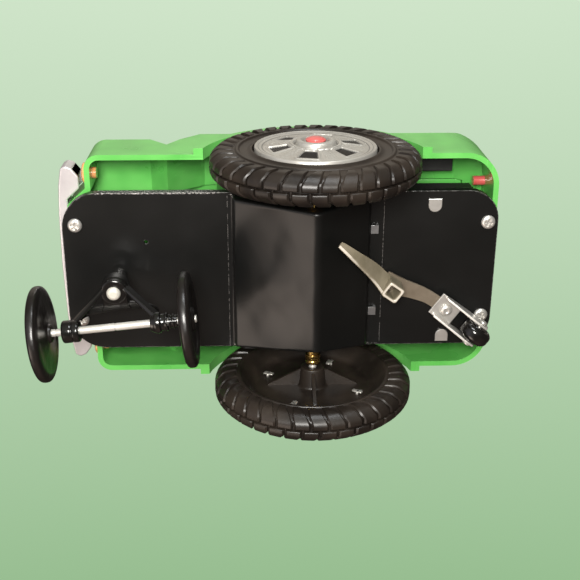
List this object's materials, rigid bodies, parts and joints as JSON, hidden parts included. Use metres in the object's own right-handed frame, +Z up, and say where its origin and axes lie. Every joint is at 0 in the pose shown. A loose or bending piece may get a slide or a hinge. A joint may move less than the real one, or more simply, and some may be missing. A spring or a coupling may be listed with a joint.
{
  "type": "battery stunt vehicle",
  "caption": "Toy off-road vehicle driven by a big-wheel axle, with a free-swivelling wheel truck under the nose and a lever-steered roller under the tail.",
  "frame": {"origin": "on the ground, under the middle of the vehicle's box as parked", "axes": "+X forward, +Y to the vehicle's left, +Z up"},
  "size_m": [0.1878, 0.119, 0.121],
  "materials": {
    "green_plastic": "glossy moulded polystyrene",
    "black_enamel": "gloss black stoved enamel on tinplate",
    "tyre_plastic": "satin black moulded plastic tread",
    "gloss_black_plastic": "gloss black moulding",
    "black_plastic": "plain black moulding",
    "chrome": "vacuum-plated plastic",
    "red_plastic": "translucent-looking red moulding",
    "amber_lens": "amber lens",
    "smoke_glazing": "smoked glazing panel",
    "lever_steel": "worn pressed steel",
    "nickel_steel": "nickel-plated steel",
    "axle_steel": "bright drawn steel",
    "zinc_steel": "zinc-plated steel",
    "brass": "turned brass",
    "nylon": "natural nylon",
    "cell_jacket": "printed-free cell jacket"
  },
  "bodies": {
    "chassis": {"body_shell": "green_plastic", "windscreen": "smoke_glazing", "rear_window": "smoke_glazing", "side_window_left": "smoke_glazing", "side_window_right": "smoke_glazing", "battery_door": "green_plastic", "grille": "chrome", "bumper": "chrome", "headlamp_left": "amber_lens", "headlamp_right": "amber_lens", "tail_lamp_left": "red_plastic", "tail_lamp_right": "red_plastic", "base_plate": "black_enamel", "gearbox_cover": "black_enamel", "screw_front_left": "nickel_steel", "screw_front_right": "nickel_steel", "screw_rear_left": "nickel_steel", "screw_rear_right": "nickel_steel", "gearbox_frame": "zinc_steel", "idler_shaft_low": "axle_steel", "idler_shaft_high": "axle_steel", "motor": "zinc_steel", "bush_left": "brass", "bush_right": "brass", "battery_holder": "black_plastic", "holder_tab_left": "nickel_steel", "holder_tab_right": "nickel_steel", "battery_front": "cell_jacket", "battery_rear": "cell_jacket", "contact_left": "brass", "contact_right": "brass", "switch_body": "black_plastic", "pivot_rivet": "nickel_steel", "lever_rivet": "nickel_steel"},
    "drive": {"drive_axle": "axle_steel", "drive_wheel_left": "tyre_plastic", "drive_wheel_right": "tyre_plastic", "hubcap_left": "chrome", "hubcap_right": "chrome", "centre_cap_left": "red_plastic", "centre_cap_right": "red_plastic", "axle_gear": "nylon"},
    "low_idler": {"idler_gear_low": "nylon"},
    "high_idler": {"idler_gear_high": "nylon"},
    "rotor": {"motor_pinion": "brass"},
    "front_truck": {"truck_frame": "gloss_black_plastic"},
    "truck_wheels": {"truck_axle": "axle_steel", "truck_wheel_left": "gloss_black_plastic", "truck_wheel_right": "gloss_black_plastic"},
    "steering": {"steering_lever": "lever_steel", "roller_clevis": "nickel_steel", "roller_pin": "nickel_steel"},
    "roller": {"tail_roller": "gloss_black_plastic"},
    "power_switch": {"switch_slider": "red_plastic"}
  },
  "joints": [
    {"name": "drive_spin", "type": "hinge", "parent": "chassis", "child": "drive", "pos_m": [-0.01605, 0, 0.041], "axis": [0, 1, 0], "continuous": true},
    {"name": "low_idler_spin", "type": "hinge", "parent": "chassis", "child": "low_idler", "pos_m": [-0.01357, 0.02, 0.05027], "axis": [0, 1, 0], "continuous": true},
    {"name": "high_idler_spin", "type": "hinge", "parent": "chassis", "child": "high_idler", "pos_m": [-0.01534, 0.018, 0.06032], "axis": [0, 1, 0], "continuous": true},
    {"name": "rotor_spin", "type": "hinge", "parent": "chassis", "child": "rotor", "pos_m": [-0.00575, 0, 0.06381], "axis": [0, 1, 0], "continuous": true},
    {"name": "truck_swivel", "type": "hinge", "parent": "chassis", "child": "front_truck", "pos_m": [0.06275, 0, 0.041], "axis": [0, 0, 1], "continuous": true},
    {"name": "truck_wheel_spin", "type": "hinge", "parent": "front_truck", "child": "truck_wheels", "pos_m": [0.06171, -0.01065, 0.0188], "axis": [-0.9952, 0.0976, 0], "continuous": true},
    {"name": "lever_swing", "type": "hinge", "parent": "chassis", "child": "steering", "pos_m": [-0.07135, -0.0162, 0.045], "axis": [0, 0, 1], "range_deg": [-54, 0]},
    {"name": "roller_spin", "type": "hinge", "parent": "steering", "child": "roller", "pos_m": [-0.08316, -0.02478, 0.0394], "axis": [-0.5878, 0.809, 0], "continuous": true},
    {"name": "switch_slide", "type": "slide", "parent": "chassis", "child": "power_switch", "axis": [1, 0, 0], "range_m": [0, 0.004]}
  ],
  "couplings": [
    {"joint": "low_idler_spin", "follows": "drive_spin", "ratio": -2.2},
    {"joint": "high_idler_spin", "follows": "drive_spin", "ratio": 5.28},
    {"joint": "rotor_spin", "follows": "drive_spin", "ratio": -12.672}
  ]
}
